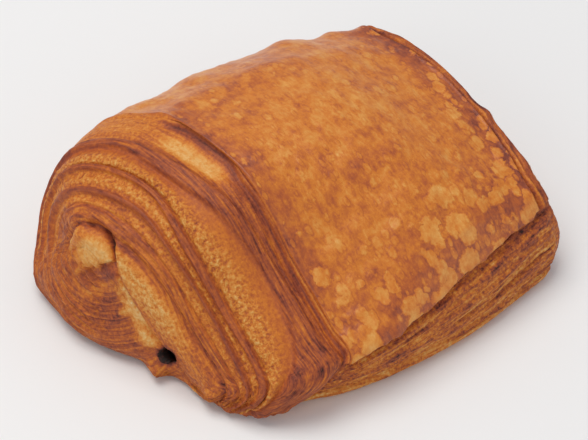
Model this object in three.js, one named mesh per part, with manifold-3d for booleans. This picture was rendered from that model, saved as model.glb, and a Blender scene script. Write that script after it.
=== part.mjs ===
// Pain au chocolat: a sheet of laminated dough rolled round two chocolate batons, baked.
// Millimetres, +Z up. The roll runs along X and stands on its flat base, with the loose end of
// the dough lying over the crown and ending in a cut edge along the front. The origin is the
// middle of the footprint, on the surface that the pastry stands on.

import * as THREE from "three";
import { mergeVertices } from "three/addons/utils/BufferGeometryUtils.js";
import Module from "manifold-3d";

const wasm = await Module();
wasm.setup();

// ---- driving dimensions --------------------------------------------------------------------

// Four outlines of the roll across its length, each from the front foot, up the cut face, over
// the crown and down the back to the base: [y, z] pairs, joined by a smooth closed curve.
const OUTLINES = [
  { x: -50, outline: [[-25.5, 0], [-31.5, 6], [-31, 12], [-25, 22], [-15, 32], [-3, 41], [10, 46.5],
    [26, 47], [42, 40], [49, 24.5], [45.5, 9], [37, 0], [15, 0], [-5, 0]] },
  { x: -17, outline: [[-41, 0], [-45.5, 7], [-45.5, 15.5], [-37, 21], [-22, 31], [-7, 44.5], [10, 48.5],
    [29, 46], [44.5, 37], [50.5, 21], [48, 6], [35, 0], [8, 0], [-22, 0]] },
  { x: 17, outline: [[-46, 0], [-49, 9.5], [-44, 21], [-36, 30], [-23, 38], [-7, 43.5], [11, 46],
    [29.5, 43.5], [43.5, 34.5], [50, 20], [47, 6], [34, 0], [6, 0], [-24, 0]] },
  { x: 52, outline: [[-43.5, 0], [-46, 11], [-40, 23.5], [-33, 28], [-22, 31], [-7, 34.5], [9, 36.5],
    [24, 36], [36.5, 31], [43, 19], [40.5, 5], [30, 0], [4, 0], [-23, 0]] },
];
const POINTS = OUTLINES[0].outline.length;
const FOOTPRINT_MIDDLE = { x: 0.35, y: 0.85 }; // of the outlines above; it becomes the origin

// The two ends. edge: x of the top sheet's side edge at each outline point. swell: how far the
// end bellies past an ellipse there. The rings of layers close on a crease from low in front to
// the eye of the swirl, whose two ends are front and eye, as x, y, z.
const LEFT_END = {
  edge: [-37, -27, -18, -17.5, -17, -17, -18, -20, -27, -37, -48, -53, -54, -47],
  swell: [0, 0.5, 0, 0, 0, 0, 0, 0, 0, 0, 1.5, 5.5, 7, 1.5],
  front: { x: -47, y: -18, z: 2.5 },
  eye: { x: -54, y: 16, z: 30 },
};
const RIGHT_END = {
  edge: [46.5, 50, 48.5, 49, 51.5, 53, 53.5, 52, 50, 50, 50, 50.5, 50, 48],
  swell: [0, 1.5, 1, 0.5, 0.5, 0, 0, 0, 0, 1, 1, 1, 1, 1],
  front: { x: 58, y: -13, z: 12 },
  eye: { x: 60.5, y: 15, z: 20 },
};

// The layers that show on an end, from the sheet's edge inwards to the crease. start: where the
// layer begins at each outline point, as a share of the way in. rise: how proud its middle is,
// dip: how deep the groove at its start is, both in mm.
const LEFT_LAYERS = [
  { start: Array(POINTS).fill(0), rise: 0, dip: 0 },
  { start: Array(POINTS).fill(0.045), rise: -0.9, dip: 1.5 },
  { start: [.12, .1, .09, .09, .1, .13, .18, .22, .27, .3, .28, .24, .18, .15], rise: 0.6, dip: 0.9 },
  { start: [.4, .42, .42, .25, .18, .23, .28, .29, .34, .36, .36, .34, .32, .36], rise: -0.2, dip: 0.7 },
  { start: [.5, .5, .5, .455, .43, .42, .365, .41, .46, .46, .46, .46, .46, .48], rise: 0.8, dip: 0.6 },
  { start: [.56, .56, .56, .505, .49, .48, .405, .45, .5, .5, .5, .5, .51, .54], rise: -0.2, dip: 0.6 },
  { start: [.6, .6, .6, .56, .52, .52, .48, .55, .605, .6, .59, .58, .58, .59], rise: 0.6, dip: 0.5 },
  { start: [.63, .63, .63, .6, .555, .545, .525, .6, .66, .65, .64, .63, .62, .62], rise: 0, dip: 0.5 },
  { start: [.67, .67, .67, .65, .62, .61, .6, .66, .725, .72, .7, .68, .66, .66], rise: 0.5, dip: 0.5 },
  { start: [.76, .76, .76, .72, .7, .7, .705, .79, .875, .87, .84, .8, .78, .76], rise: 0.6, dip: 0.6 },
];
const RIGHT_LAYERS = [
  { start: Array(POINTS).fill(0), rise: -0.3, dip: 0 },
  { start: Array(POINTS).fill(0.06), rise: 0.2, dip: 1.2 },
  { start: Array(POINTS).fill(0.2), rise: 0.5, dip: 0.7 },
  { start: Array(POINTS).fill(0.36), rise: 0.6, dip: 0.7 },
  { start: Array(POINTS).fill(0.52), rise: 0.5, dip: 0.6 },
  { start: Array(POINTS).fill(0.68), rise: 0.6, dip: 0.7 },
  { start: Array(POINTS).fill(0.84), rise: 0.2, dip: 0.9 },
];
const CREASE_START = 0.97; // share of the way in where the last ring closes on itself
const FACE_LAYER = 0.6; // outline points per layer of the cut face along the front
const FACE_GROOVE = 0.9; // depth between those layers
const FACE_TOP = 2; // outline point where the top sheet's front edge lies
const BASE_FADE = 6; // height over which the layers fade out towards the base
const CRUST = 0.6; // the blistered crust stands this far outside the outlines

const STEPS_PER_POINT = 5; // facets round the roll between two outline points
const STEPS_PER_LAYER = 3;
const BODY_STEPS = 14; // facets along the top sheet
const FOLD_POINT = 1; // outline point where the rings turn round the crease's front end

const BATON = { width: 6.4, thickness: 4.4, length: 82, corner: 1.2 };
const POCKET_GAP = 0.3; // the baked pocket stands this clear of the chocolate
const CREASE_SLOPE = Math.atan2(LEFT_END.eye.z - LEFT_END.front.z, LEFT_END.eye.y - LEFT_END.front.y);
const BATON_TILT = CREASE_SLOPE + Math.PI / 2; // each baton stands on edge across the crease
const FRONT_BATON = { x: -46.5, y: -10.2, z: 8.4 }; // middle of the baton's left end
const BACK_BATON = { x: -46, y: 10.5, z: 29.5 };
// Mouth of the back pocket, a slit beside the eye of the swirl.
const EYE_SLIT = { width: 5, height: 1.2, corner: 0.4, tilt: 0.92, y: 9.4, z: 32 };
const MOUTH_REACH = 20; // how far the mouths are cut past the pastry's left end

const CRUST_COLOUR = 0xbd7430;
const CHOCOLATE_COLOUR = 0x2c1a12;

// ---- the surface of the roll ---------------------------------------------------------------

const clamp = (value, low, high) => Math.min(high, Math.max(low, value));
const smooth = (a, b, value) => {
  const f = clamp((value - a) / (b - a), 0, 1);
  return f * f * (3 - 2 * f);
};
const mix = (a, b, f) => a + (b - a) * f;

/** Catmull-Rom curve through four values, at f of the way from the second to the third. */
function curve(p, f) {
  const linear = p[2] - p[0];
  const square = 2 * p[0] - 5 * p[1] + 4 * p[2] - p[3];
  const cube = 3 * p[1] - p[0] - 3 * p[2] + p[3];
  return 0.5 * (2 * p[1] + f * (linear + f * (square + f * cube)));
}

/** Value at place t (in outline points) of a list that runs round the closed outline. */
function around(list, t) {
  const first = Math.floor(t);
  const four = [-1, 0, 1, 2].map((step) => list[(first + step + 2 * POINTS) % POINTS]);
  return curve(four, t - first);
}

/** Point [y, z] of the roll's outline at place t, x along the roll. */
function outlineAt(t, x) {
  let span = 0;
  while (span < OUTLINES.length - 2 && x > OUTLINES[span + 1].x) span += 1;
  const f = clamp((x - OUTLINES[span].x) / (OUTLINES[span + 1].x - OUTLINES[span].x), 0, 1);
  return [0, 1].map((axis) => {
    const four = [-1, 0, 1, 2].map((step) => {
      const { outline } = OUTLINES[clamp(span + step, 0, OUTLINES.length - 1)];
      return around(outline.map((point) => point[axis]), t);
    });
    return curve(four, f);
  });
}

/** Share along the crease, from its front end to the eye, that place t closes on. */
function creaseShare(t) {
  return smooth(2.6, 7.6, t) - smooth(10.6, 13.4, t);
}

/** Point of the top sheet's stretch: along runs from -1 at its left edge to 1 at its right. */
function bodyPoint(t, along) {
  const left = around(LEFT_END.edge, t);
  const right = around(RIGHT_END.edge, t);
  const x = mix(left, right, (along + 1) / 2);
  const [y, z] = outlineAt(t, x);
  return new THREE.Vector3(x, y, Math.max(z, 0));
}

/** Point of an end: inward runs from 0 at the sheet's edge to 1 at the crease. Each place on
 *  the edge closes on the crease along a quarter ellipse, plus the end's swell. */
function endPoint(end, t, inward) {
  const edgeX = around(end.edge, t);
  const [y, z] = outlineAt(t, edgeX);
  const angle = inward * Math.PI / 2;
  const share = creaseShare(t);
  const tip = mix(end.front.x, end.eye.x, share);
  const bulge = around(end.swell, t) * Math.sin(2 * angle) * Math.sign(end.eye.x);
  const creaseY = mix(end.front.y, end.eye.y, share);
  const creaseZ = mix(end.front.z, end.eye.z, share);
  return new THREE.Vector3(
    mix(edgeX, tip, Math.sin(angle)) + bulge,
    mix(creaseY, y, Math.cos(angle)),
    Math.max(mix(creaseZ, z, Math.cos(angle)), 0),
  );
}

/** The point moved out by the crust and its relief along the surface's normal, fading out
 *  towards the base. */
function raised(pointAt, t, along, height) {
  const step = 0.01;
  const point = pointAt(t, along);
  const acrossRoll = pointAt(t + step, along).sub(pointAt(t - step, along));
  const alongRoll = pointAt(t, along + step).sub(pointAt(t, along - step));
  const normal = alongRoll.cross(acrossRoll).normalize();
  const fade = clamp(point.z / BASE_FADE, 0, 1);
  point.addScaledVector(normal, (CRUST + height) * fade);
  point.z = Math.max(point.z, 0);
  return point;
}

/** Height of the layers on the cut face, between the foot and the top sheet's front edge. */
function faceRelief(t) {
  const onFace = smooth(0, 0.3, t) * (1 - smooth(FACE_TOP - 0.1, FACE_TOP, t));
  return onFace * FACE_GROOVE * 0.5 * (Math.cos(2 * Math.PI * t / FACE_LAYER) - 1);
}

/** Rows of one end, from the sheet's edge to the crease, following its layers. */
function endRows(end, layers, side) {
  const starts = layers.map((layer) => layer.start);
  starts.push(Array(POINTS).fill(CREASE_START));
  const rows = [];
  layers.forEach((layer, index) => {
    for (let step = 0; step < STEPS_PER_LAYER; step += 1) {
      const f = step / STEPS_PER_LAYER;
      const height = mix(-layer.dip, layer.rise, Math.sin(Math.PI * f));
      rows.push((t) => {
        const inward = mix(around(starts[index], t), around(starts[index + 1], t), f);
        const pointAt = (place, depth) => endPoint(end, place, Math.abs(depth));
        return raised(pointAt, t, side * Math.max(inward, 0.02), height + faceRelief(t) * (1 - inward));
      });
    }
  });
  rows.push((t) => endPoint(end, t, CREASE_START));
  return rows;
}

/** Closed geometry of the whole roll: rings of facets from the left crease to the right one. */
function rollGeometry() {
  const left = endRows(LEFT_END, LEFT_LAYERS, -1).reverse();
  const right = endRows(RIGHT_END, RIGHT_LAYERS, 1);
  const body = [];
  for (let step = 0; step <= BODY_STEPS; step += 1) {
    const along = mix(-1, 1, step / BODY_STEPS);
    body.push((t) => raised(bodyPoint, t, along, faceRelief(t)));
  }
  const rows = [...left.slice(0, -1), ...body, ...right.slice(1)];
  const columns = POINTS * STEPS_PER_POINT;
  const positions = [];
  for (const row of rows) {
    for (let column = 0; column < columns; column += 1) {
      const point = row(column / STEPS_PER_POINT);
      positions.push(point.x - FOOTPRINT_MIDDLE.x, point.y - FOOTPRINT_MIDDLE.y, point.z);
    }
  }
  const corner = (row, column) => row * columns + (column + columns) % columns;
  const triangles = [];
  for (let row = 0; row + 1 < rows.length; row += 1) {
    for (let column = 0; column < columns; column += 1) {
      const [a, b] = [corner(row, column), corner(row, column + 1)];
      const [c, d] = [corner(row + 1, column), corner(row + 1, column + 1)];
      triangles.push(a, c, b, b, c, d);
    }
  }
  closeCrease(triangles, corner, 0, columns, true);
  closeCrease(triangles, corner, rows.length - 1, columns, false);
  const geometry = new THREE.BufferGeometry();
  geometry.setAttribute("position", new THREE.Float32BufferAttribute(positions, 3));
  geometry.setIndex(triangles);
  return geometry;
}

/** Closes a last ring with a strip between its upper and its lower side. */
function closeCrease(triangles, corner, row, columns, outward) {
  const start = FOLD_POINT * STEPS_PER_POINT;
  for (let step = 0; step < columns / 2; step += 1) {
    const upper = corner(row, start + step);
    const nextUpper = corner(row, start + step + 1);
    const lower = corner(row, start - step);
    const nextLower = corner(row, start - step - 1);
    const faces = [[upper, lower, nextUpper], [nextUpper, lower, nextLower]];
    for (const face of faces) {
      const flat = new Set(face).size < 3;
      if (!flat) triangles.push(...(outward ? face.reverse() : face));
    }
  }
}

// ---- batons and their pockets --------------------------------------------------------------

/** Bar with rounded corners that runs along +X from its place, tilted about X. */
function bar(width, thickness, length, corner, tilt, place) {
  const shape = new THREE.Shape();
  const across = width / 2 - corner;
  const up = thickness / 2 - corner;
  shape.absarc(across, up, corner, 0, Math.PI / 2);
  shape.absarc(-across, up, corner, Math.PI / 2, Math.PI);
  shape.absarc(-across, -up, corner, Math.PI, 1.5 * Math.PI);
  shape.absarc(across, -up, corner, 1.5 * Math.PI, 2 * Math.PI);
  const geometry = new THREE.ExtrudeGeometry(shape, { depth: length, bevelEnabled: false, curveSegments: 3 });
  geometry.rotateX(Math.PI / 2);
  geometry.rotateZ(Math.PI / 2);
  geometry.rotateX(tilt);
  geometry.translate(place.x - FOOTPRINT_MIDDLE.x, place.y - FOOTPRINT_MIDDLE.y, place.z);
  return geometry;
}

const baton = (place) => bar(BATON.width, BATON.thickness, BATON.length, BATON.corner, BATON_TILT, place);

/** The baton's space in the dough, starting lead mm to the left of the baton's end. */
function pocket(place, lead) {
  const start = { ...place, x: place.x - lead };
  const [width, thickness] = [BATON.width + 2 * POCKET_GAP, BATON.thickness + 2 * POCKET_GAP];
  const length = BATON.length + lead + POCKET_GAP;
  return bar(width, thickness, length, BATON.corner, BATON_TILT, start);
}

function solidOf(geometry) {
  const bare = geometry.clone();
  bare.deleteAttribute("normal");
  bare.deleteAttribute("uv");
  const merged = mergeVertices(bare, 1e-4);
  const vertProperties = Float32Array.from(merged.attributes.position.array);
  const triVerts = Uint32Array.from(merged.index.array);
  return new wasm.Manifold(new wasm.Mesh({ numProp: 3, vertProperties, triVerts }));
}

function geometryOf(solid) {
  const mesh = solid.getMesh();
  const geometry = new THREE.BufferGeometry();
  geometry.setAttribute("position", new THREE.Float32BufferAttribute(mesh.vertProperties, 3));
  geometry.setIndex(Array.from(mesh.triVerts));
  geometry.computeVertexNormals();
  return geometry;
}

// ---- the pieces ----------------------------------------------------------------------------

function pastry() {
  const slitPlace = { x: BACK_BATON.x - MOUTH_REACH, y: EYE_SLIT.y, z: EYE_SLIT.z };
  const slit = bar(EYE_SLIT.width, EYE_SLIT.height, MOUTH_REACH, EYE_SLIT.corner, EYE_SLIT.tilt, slitPlace);
  const solid = solidOf(rollGeometry())
    .subtract(solidOf(pocket(FRONT_BATON, MOUTH_REACH)))
    .subtract(solidOf(pocket(BACK_BATON, POCKET_GAP)))
    .subtract(solidOf(slit));
  const crust = new THREE.MeshStandardMaterial({ color: CRUST_COLOUR, roughness: 0.45, metalness: 0 });
  const mesh = new THREE.Mesh(geometryOf(solid), crust);
  mesh.name = "pastry";
  return mesh;
}

function chocolateBaton(name, place) {
  const chocolate = new THREE.MeshStandardMaterial({ color: CHOCOLATE_COLOUR, roughness: 0.5, metalness: 0 });
  const mesh = new THREE.Mesh(baton(place), chocolate);
  mesh.name = name;
  return mesh;
}

const painAuChocolat = new THREE.Group();
painAuChocolat.add(pastry());
painAuChocolat.add(chocolateBaton("chocolate_baton_front", FRONT_BATON));
painAuChocolat.add(chocolateBaton("chocolate_baton_back", BACK_BATON));

export default painAuChocolat;
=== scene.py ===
import math
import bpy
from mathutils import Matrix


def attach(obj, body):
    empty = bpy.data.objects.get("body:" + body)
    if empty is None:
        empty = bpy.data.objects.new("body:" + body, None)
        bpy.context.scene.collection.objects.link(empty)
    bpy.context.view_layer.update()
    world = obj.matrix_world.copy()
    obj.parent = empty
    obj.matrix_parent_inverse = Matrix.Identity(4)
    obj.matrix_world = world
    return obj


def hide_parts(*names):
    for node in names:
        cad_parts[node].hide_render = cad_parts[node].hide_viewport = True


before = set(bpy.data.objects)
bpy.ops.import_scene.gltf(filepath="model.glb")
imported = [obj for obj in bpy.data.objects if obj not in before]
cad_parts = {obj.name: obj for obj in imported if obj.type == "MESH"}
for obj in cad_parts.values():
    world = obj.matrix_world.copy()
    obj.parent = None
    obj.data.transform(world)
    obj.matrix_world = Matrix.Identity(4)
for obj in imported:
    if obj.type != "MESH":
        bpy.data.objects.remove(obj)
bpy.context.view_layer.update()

from types import SimpleNamespace

import bpy
import numpy as np
from mathutils import Vector

# A pain au chocolat: laminated dough rolled round two chocolate batons, egg-washed and baked.
# Shapes are worked out in millimetres and go into the meshes in metres. +X runs along the roll,
# -Y is the cut front face, +Z is up, and the origin is the middle of the footprint.

MM = 0.001

# ---- the roll's driving dimensions (mm) ----

# Outlines across the roll at four places along it: front foot, up the cut face, over the crown
# and down the back to the base. A smooth closed curve joins the points of each.
OUTLINE_X = np.array([-50.0, -17.0, 17.0, 52.0])
OUTLINES = np.array([
    [(-25.5, 0), (-31.5, 6), (-31, 12), (-25, 22), (-15, 32), (-3, 41), (10, 46.5),
     (26, 47), (42, 40), (49, 24.5), (45.5, 9), (37, 0), (15, 0), (-5, 0)],
    [(-41, 0), (-45.5, 7), (-45.5, 15.5), (-37, 21), (-22, 31), (-7, 44.5), (10, 48.5),
     (29, 46), (44.5, 37), (50.5, 21), (48, 6), (35, 0), (8, 0), (-22, 0)],
    [(-46, 0), (-49, 9.5), (-44, 21), (-36, 30), (-23, 38), (-7, 43.5), (11, 46),
     (29.5, 43.5), (43.5, 34.5), (50, 20), (47, 6), (34, 0), (6, 0), (-24, 0)],
    [(-43.5, 0), (-46, 11), (-40, 23.5), (-33, 28), (-22, 31), (-7, 34.5), (9, 36.5),
     (24, 36), (36.5, 31), (43, 19), (40.5, 5), (30, 0), (4, 0), (-23, 0)],
], float)
POINTS = OUTLINES.shape[1]
FOOTPRINT_MIDDLE = np.array([0.35, 0.85, 0.0])  # of the outlines above; it becomes the origin
ROUND_LENGTH = 250.0  # length round the roll that its patterns are spread over
FACE_LENGTH = 11.0  # length down the cut face for each outline point

# The two ends: x of the top sheet's side edge at each outline point, how far the end bellies
# past an ellipse there, and the crease that its rings of layers close on, from low in front to
# the eye of the swirl.
LEFT_END = dict(
    side=-1,
    edge=np.array([-37, -27, -18, -17.5, -17, -17, -18, -20, -27, -37, -48, -53, -54, -47.0]),
    swell=np.array([0, 0.5, 0, 0, 0, 0, 0, 0, 0, 0, 1.5, 5.5, 7, 1.5]),
    front=np.array([-47.0, -18.0, 2.5]),
    eye=np.array([-54.0, 16.0, 30.0]),
)
RIGHT_END = dict(
    side=1,
    edge=np.array([46.5, 50, 48.5, 49, 51.5, 53, 53.5, 52, 50, 50, 50, 50.5, 50, 48.0]),
    swell=np.array([0, 1.5, 1, 0.5, 0.5, 0, 0, 0, 0, 1, 1, 1, 1, 1.0]),
    front=np.array([58.0, -13.0, 12.0]),
    eye=np.array([60.5, 15.0, 20.0]),
)

CREASE_ROWS = 9  # rows over which the two sides of a crease grow into each other
FRONT_END_T, EYE_END_T = 1.0, 9.1  # where round the outline the crease's two ends are

# Where each layer of an end begins at each outline point, as a share of the way from the
# sheet's edge to the crease. The last ring stops just short, and a strip closes it.
CREASE_START = 0.995
LEFT_LAYERS = np.array([
    [0.0] * POINTS,
    [0.045] * POINTS,
    [.12, .10, .09, .09, .10, .13, .18, .22, .27, .30, .28, .24, .18, .15],
    [.40, .42, .42, .25, .18, .23, .28, .29, .34, .36, .36, .34, .32, .36],
    [.50, .50, .50, .455, .43, .42, .365, .41, .46, .46, .46, .46, .46, .48],
    [.56, .56, .56, .505, .49, .48, .405, .45, .50, .50, .50, .50, .51, .54],
    [.60, .60, .60, .56, .52, .52, .48, .55, .605, .60, .59, .58, .58, .59],
    [.63, .63, .63, .60, .555, .545, .525, .60, .66, .65, .64, .63, .62, .62],
    [.67, .67, .67, .65, .62, .61, .60, .66, .725, .72, .70, .68, .66, .66],
    [.76, .76, .76, .72, .70, .70, .705, .79, .875, .87, .84, .80, .78, .76],
    [CREASE_START] * POINTS,
])
RIGHT_LAYERS = np.array([[share] * POINTS for share in (0, 0.06, 0.2, 0.36, 0.52, 0.68, 0.84, CREASE_START)])

# Across an end's layers: place (whole numbers are where the layers above begin), height of
# the surface there, how brown it is, from 0 for pale dough to 1 for the darkest crust, how
# crumbly, and how strong the fine lines of the lamination are.
LAYER_DEPTH = 1.25  # scales the heights
# The dark at place 0.95, in the groove under the sheet's overhanging edge, is painted shade.
LEFT_PROFILE = np.array([
    (0.0, 0.0, .58, 0, .3), (0.2, 0.1, .56, 0, .6), (0.45, -0.3, .72, 0, .8), (0.7, -0.2, .54, .1, .8),
    (0.95, -1.4, .84, 0, .5), (1.2, -1.3, .69, .1, .8), (1.5, -0.9, .66, .2, .8), (1.8, -0.9, .72, .1, 1),
    (2.0, -0.8, .68, .1, 1), (2.2, 0.3, .73, 0, 1), (2.55, 0.3, .70, 0, 1), (2.85, 0.5, .73, 0, 1),
    (3.0, -0.3, .70, 0, .6), (3.1, -0.6, .62, 0, .2), (3.35, -0.2, .58, .2, .1), (3.55, 0.2, .52, .8, .1),
    (3.75, 0.3, .47, 1, .1), (3.93, 0.0, .47, 1, .2), (4.0, -0.6, .64, .3, .5), (4.25, 0.5, .73, 0, .7),
    (4.5, 0.2, .66, .1, .7), (4.75, 0.6, .72, 0, .7), (5.0, -0.5, .60, .3, .5), (5.2, -0.6, .52, .8, .2),
    (5.7, -0.2, .48, .9, .2), (6.0, -0.5, .62, .3, .4), (6.3, 0.6, .71, 0, .5), (6.7, 0.5, .69, 0, .5),
    (7.0, -0.5, .60, .2, .4), (7.3, -0.4, .52, .7, .3), (7.8, -0.1, .51, .6, .5), (8.0, -0.5, .62, .2, .8),
    (8.2, 0.3, .69, 0, 1), (8.4, 0.0, .58, .3, 1), (8.6, 0.3, .68, 0, 1), (8.8, 0.0, .58, .3, 1),
    (9.0, -0.6, .70, .2, .8), (9.06, -0.2, .68, 0, 1), (9.14, 0.3, .50, .4, .4), (9.22, 0.8, .37, .8, .1),
    (9.45, 1.0, .33, .9, .1), (9.62, 0.7, .40, .8, .1), (9.74, 0.4, .53, .5, .3), (9.84, 0.2, .63, .2, .6),
    (10.0, 0.0, .66, 0, .6),
])
# The dark at place 1.0, in the groove under the sheet's overhanging edge, is painted shade.
RIGHT_PROFILE = np.array([
    (0.0, 0.0, .58, 0, .3), (0.5, -0.3, .68, 0, .8), (1.0, -1.2, .78, 0, .5), (1.5, 0.3, .58, .3, 1),
    (2.0, -0.5, .68, .1, 1), (2.5, 0.6, .71, 0, 1), (3.0, -0.5, .56, .6, .6), (3.5, 0.5, .50, .8, .3),
    (4.0, -0.5, .66, .2, .6), (4.5, 0.6, .66, 0, 1), (5.0, -0.5, .54, .6, .5), (5.5, 0.5, .50, .8, .3),
    (6.0, -0.7, .66, .2, .6), (6.5, 0.2, .58, .3, .8), (7.0, -1.6, .76, 0, .5),
])

# Lines on the left end, as y, z on the outlines' own axes: the fold that runs from the front
# baton's mouth up to the eye and over it, and the lip of the eye above the tucked tail.
FOLD = np.array([(-12, 7.2), (-8.3, 10.1), (-3.9, 13.9), (0.8, 20.4), (4.4, 25.2), (7.5, 30.2),
                 (9.6, 33.2), (12.6, 35.2), (16.0, 35.8), (19.5, 34.6)], float)
FOLD_LENGTH = 45.0
LIP = np.array([(7.5, 30.2), (11.2, 27.2), (13.8, 24.7), (17.3, 20.9), (20, 19)], float)

# The swirl's eye, the tail of dough tucked in under its lip, and the lobe below it.
EYE_CENTRE = np.array([-54.0, 14.2, 29.4])
EYE_RADIUS = 6.6
TUCKED_TAIL = (7.9, 25.5)
LOBE_MIDDLE = np.array([-55.4, 7.6, 14.3])
LOBE_SIZE = (6, 8, 7)
LOBE_ARC_SPACING = 2.6
EYE_DEPTH = 60.0  # depth given to the eye, where lines are wound by their distance from it

# What stands out from the roll as a whole: middle, radius, and how far it is pushed.
STANDING_OUT = [
    # a nub of dough beside the front baton's mouth, a notch under it, and the front corner
    ((-50.4, -7.2, 2.2), 3.1, (-2.7, -2.6, 0.4)), ((-49.5, -9.6, 2.4), 1.2, (1.2, 0.8, 0)),
    ((-36, -34, 2), 6.0, (-0.7, -1.3, 0)),
    # big blisters on the back shoulder
    ((29, 40, 37), 7.0, (0, 1.0, 2.0)), ((43, 37, 34), 4.5, (0, 0.6, 1.3)),
    ((51, 32, 34), 3.5, (0.3, 0.4, 1.2)), ((-19, 44, 37), 6.0, (0, 0.8, 1.2)),
    # and on the right edge
    ((56, -12, 32), 2.4, (0.9, 0, 0.5)), ((55, -28, 26), 2.6, (0.8, 0, 0.3)),
]

# Columns go round the roll, in runs: from and to, in outline points, and how many. Rows run
# along it, so many to each layer of an end, and to the top sheet.
COLUMN_RUNS = [(0.0, 2.2, 84), (2.2, 9.0, 168), (9.0, 14.0, 66)]
LEFT_ROWS = [6, 10, 15, 24, 9, 8, 6, 9, 14, 34]
RIGHT_ROWS = [7, 7, 7, 7, 7, 7, 8]
SHEET_ROWS = 92
SHEET_ROWS_CROWD = 0.8  # how much of a sine's rise they follow, so that its edges get more

# The chocolate batons: the size that baking batons have, and the middle of each one's left
# end on the outlines' own axes. Each lies in a pocket that is a gap wider all round.
BATON_WIDTH, BATON_THICKNESS, BATON_LENGTH = 6.4, 4.4, 82.0
POCKET_GAP = 0.3
FRONT_BATON = (-46.5, -10.2, 8.4)
BACK_BATON = (-46.0, 10.5, 29.5)

# The front pocket's oval mouth and the slit beside the eye, each cut from outside the crust.
CUT_REACH = 16.0
MOUTH_HALF_WIDTH, MOUTH_HALF_HEIGHT = 2.8, 2.15
EYE_SLIT = dict(width=5.0, height=0.5, tilt=0.93, y=9.7, z=32.5)
TUBE_SIDES = 48

# ---- smooth noise ----


def lattice(ix, iy, iz, seed):
    """A number from -1 to 1 for each whole-number place: its coordinates mixed by integer
    multiplications and shifts, so every run gives the same."""
    h = (ix * 374761393 + iy * 668265263 + iz * 1440662683 + seed * 1274126177) & 0xFFFFFFFF
    h = ((h ^ (h >> 13)) * 1274126177) & 0xFFFFFFFF
    h = ((h ^ (h >> 15)) * 668265263) & 0xFFFFFFFF
    return ((h ^ (h >> 16)) & 0xFFFF) / 32767.5 - 1.0


def noise(places, seed, octaves=1):
    """Value noise: the lattice numbers of the cube round each place, blended by smoothstep
    along each axis; every octave after the first is twice as fine and half as high."""
    total = np.zeros(places.shape[:-1])
    for octave in range(octaves):
        scaled = places * 2.0 ** octave
        cell = np.floor(scaled).astype(np.int64)
        f = scaled - cell
        f = f * f * (3 - 2 * f)
        value = np.zeros_like(total)
        for corner in np.ndindex(2, 2, 2):
            weight = np.where(corner, f, 1 - f).prod(-1)
            x, y, z = np.moveaxis(cell + corner, -1, 0)
            value += weight * lattice(x, y, z, seed + octave)
        total += value * 0.5 ** octave
    return total


def flat_noise(u, v, shift, seed, octaves=1):
    """Noise over a flat map, at u and v counted in lengths of the pattern."""
    places = np.stack(np.broadcast_arrays(u, v, 0.0), -1)
    return noise(places + shift, seed, octaves)


def smooth(a, b, value):
    """0 below a, 1 above b, and smoothstep between them."""
    f = np.clip((value - a) / (b - a), 0, 1)
    return f * f * (3 - 2 * f)


def window(a, b, c, d, value):
    """Rises from 0 to 1 between a and b, and falls back between c and d."""
    return smooth(a, b, value) * (1 - smooth(c, d, value))


def bell(value, middle, width):
    """1 at the middle, falling to either side as the exponential of minus the square."""
    return np.exp(-((value - middle) / width) ** 2)


def ball(points, middle, size):
    """A bell in all three directions round a middle point."""
    return np.exp(-(((points - np.array(middle)) / size) ** 2).sum(-1))


def from_line(y, z, line):
    """Signed distance to the nearest stretch of a line of y, z points, positive on the left of
    its direction of travel, and how far along the line, from 0 to 1, that stretch lies."""
    nearest = np.full(y.shape, np.inf)
    signed = np.zeros(y.shape)
    share = np.zeros(y.shape)
    for n, (start, end) in enumerate(zip(line[:-1], line[1:])):
        run = end - start
        f = np.clip(((y - start[0]) * run[0] + (z - start[1]) * run[1]) / (run ** 2).sum(), 0, 1)
        off_y, off_z = y - start[0] - f * run[0], z - start[1] - f * run[1]
        distance = np.hypot(off_y, off_z)
        side = np.sign(run[1] * off_y - run[0] * off_z)
        closer = distance < nearest
        nearest = np.where(closer, distance, nearest)
        signed = np.where(closer, -side * distance, signed)
        share = np.where(closer, (n + f) / (len(line) - 1), share)
    return signed, share


# ---- the roll's surface ----


def catmull(p, f):
    """Catmull-Rom curve through four values, at f of the way from the second to the third."""
    return 0.5 * (2 * p[1] + f * (p[2] - p[0] + f * (2 * p[0] - 5 * p[1] + 4 * p[2] - p[3]
                                                    + f * (3 * p[1] - p[0] - 3 * p[2] + p[3]))))


def around(values, t):
    """Value at place t, counted in outline points, of a list that runs round the outline."""
    first = np.floor(t).astype(int)
    return catmull([values[(first + step) % POINTS] for step in (-1, 0, 1, 2)], t - first)


def outline_at(t, x):
    """y and z of the roll's outline at place t, x along the roll: the curve round each of the
    four outlines, blended along the roll by a second curve through the four."""
    along = np.interp(x, OUTLINE_X, np.arange(4.0))
    span = np.clip(np.floor(along).astype(int), 0, 2)
    result = []
    for axis in (0, 1):
        stations = np.stack([around(OUTLINES[n, :, axis], t) for n in range(4)])
        four = [np.take_along_axis(stations, np.clip(span + step, 0, 3)[None], 0)[0]
                for step in (-1, 0, 1, 2)]
        result.append(catmull(four, along - span))
    return result[0], np.maximum(result[1], 0)


def crease_share(t):
    """Share along the crease, from its front end to the eye, that place t closes on."""
    return smooth(2.6, 7.6, t) - smooth(10.6, 13.4, t)


def sheet_points(t, along):
    """The top sheet's stretch: x runs straight from its left edge (along = -1) to its right
    edge (along = 1), and y and z follow the outlines."""
    x = around(LEFT_END["edge"], t) * (1 - along) / 2
    x = x + around(RIGHT_END["edge"], t) * (1 + along) / 2
    y, z = outline_at(t, x)
    return np.stack([x, y, z], -1)


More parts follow.
